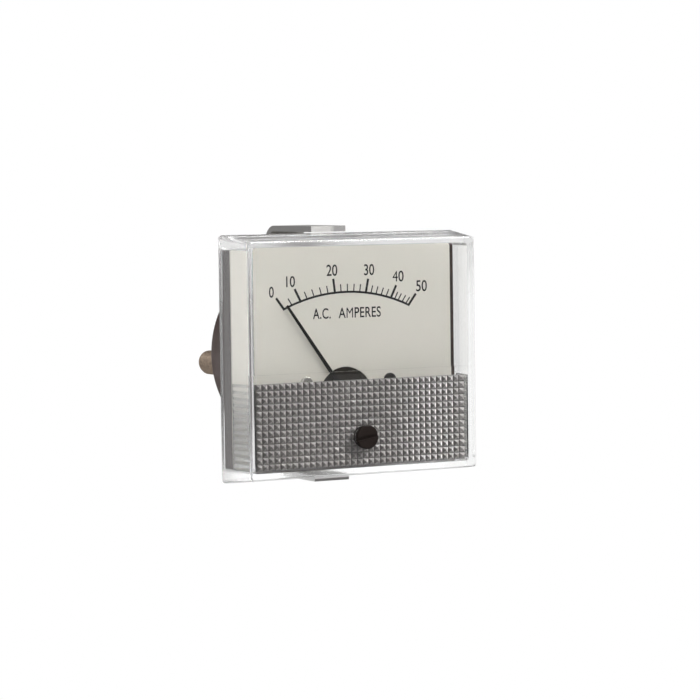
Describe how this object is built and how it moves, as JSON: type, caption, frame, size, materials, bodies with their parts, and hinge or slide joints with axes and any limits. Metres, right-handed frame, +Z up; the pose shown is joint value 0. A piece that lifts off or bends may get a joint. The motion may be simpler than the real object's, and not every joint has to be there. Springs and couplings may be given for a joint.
{
  "type": "analog panel meter",
  "caption": "Moving-iron panel ammeter: clear drafted front cover, silver grid band, sprung needle over a scale, slotted zero adjuster, round barrel, studs and U clamp.",
  "frame": {"origin": "on the barrel's axis in the plane of the panel's face, which is the back of the cover's rim", "axes": "+Z up, the dial looks to -Y, the barrel and the studs run along +Y, +X to the right seen from the front"},
  "size_m": [0.0654, 0.0556, 0.0632],
  "materials": {
    "clear_cover": "clear moulded polystyrene, glossy outside and inside",
    "silver_grid": "silver-grey lacquer over moulded pyramids",
    "brown_base": "dark brown phenolic moulding, semi-gloss",
    "scale_face": "cream matt enamel on aluminium, black printing",
    "plated_screws": "nickel-plated, slotted",
    "black_metal": "matt black",
    "bobbin_plastic": "moulded nylon",
    "enamelled_copper": "enamelled copper wire, red-brown gloss",
    "bare_copper": "tinned copper strip",
    "vane_iron": "soft iron strip",
    "brass_parts": "stamped and turned brass",
    "steel_parts": "ground steel",
    "stud_brass": "turned brass, dulled",
    "plated_steel": "nickel-plated steel",
    "clamp_steel": "plated steel strap, dark edges and bright ends",
    "black_pointer": "black lacquered aluminium",
    "spring_bronze": "phosphor bronze strip",
    "black_knob": "moulded black plastic, slotted"
  },
  "bodies": {
    "case": {"front_cover": "clear_cover", "grid_panel": "silver_grid", "base": "brown_base", "scale_plate": "scale_face", "scale_plate_screws": "plated_screws", "movement_plate": "black_metal", "movement_plate_screws": "plated_screws", "coil_bobbin": "bobbin_plastic", "coil": "enamelled_copper", "coil_lead_left": "bare_copper", "coil_lead_right": "bare_copper", "fixed_vane": "vane_iron", "front_bridge": "brass_parts", "bridge_screws": "plated_screws", "front_bearing_screw": "brass_parts", "rear_bearing_screw": "brass_parts", "pointer_stops": "brass_parts", "zero_lever_ring": "brass_parts", "terminal_stud_left": "stud_brass", "terminal_stud_right": "stud_brass", "stud_lock_washers": "plated_steel", "stud_nuts": "plated_steel", "clamp_stud": "steel_parts", "mounting_clamp": "clamp_steel", "clamp_washers": "plated_steel", "clamp_nuts": "plated_steel"},
    "needle": {"pointer": "black_pointer", "balance_weights": "brass_parts", "pivot_staff": "steel_parts", "hairspring_collet": "brass_parts", "hairspring": "spring_bronze", "moving_vane": "vane_iron"},
    "lever": {"zero_lever": "brass_parts"},
    "adjuster": {"zero_adjuster": "black_knob", "adjuster_clip": "steel_parts"}
  },
  "joints": [
    {"name": "lever_turn", "type": "hinge", "parent": "case", "child": "lever", "pos_m": [0, -0.0066, -0.011], "axis": [0, 1, 0], "range_deg": [-4.2, 4.2]},
    {"name": "needle_turn", "type": "hinge", "parent": "lever", "child": "needle", "pos_m": [0, -0.0045, -0.011], "axis": [0, 1, 0], "range_deg": [-4, 78], "stiffness_Nm_per_rad": 0.00002, "deforming": ["hairspring"]},
    {"name": "adjuster_turn", "type": "hinge", "parent": "case", "child": "adjuster", "pos_m": [0, -0.012, -0.0195], "axis": [0, 1, 0], "range_deg": [-25, 25]}
  ],
  "couplings": [
    {"joint": "lever_turn", "follows": "adjuster_turn", "ratio": -0.1644}
  ]
}
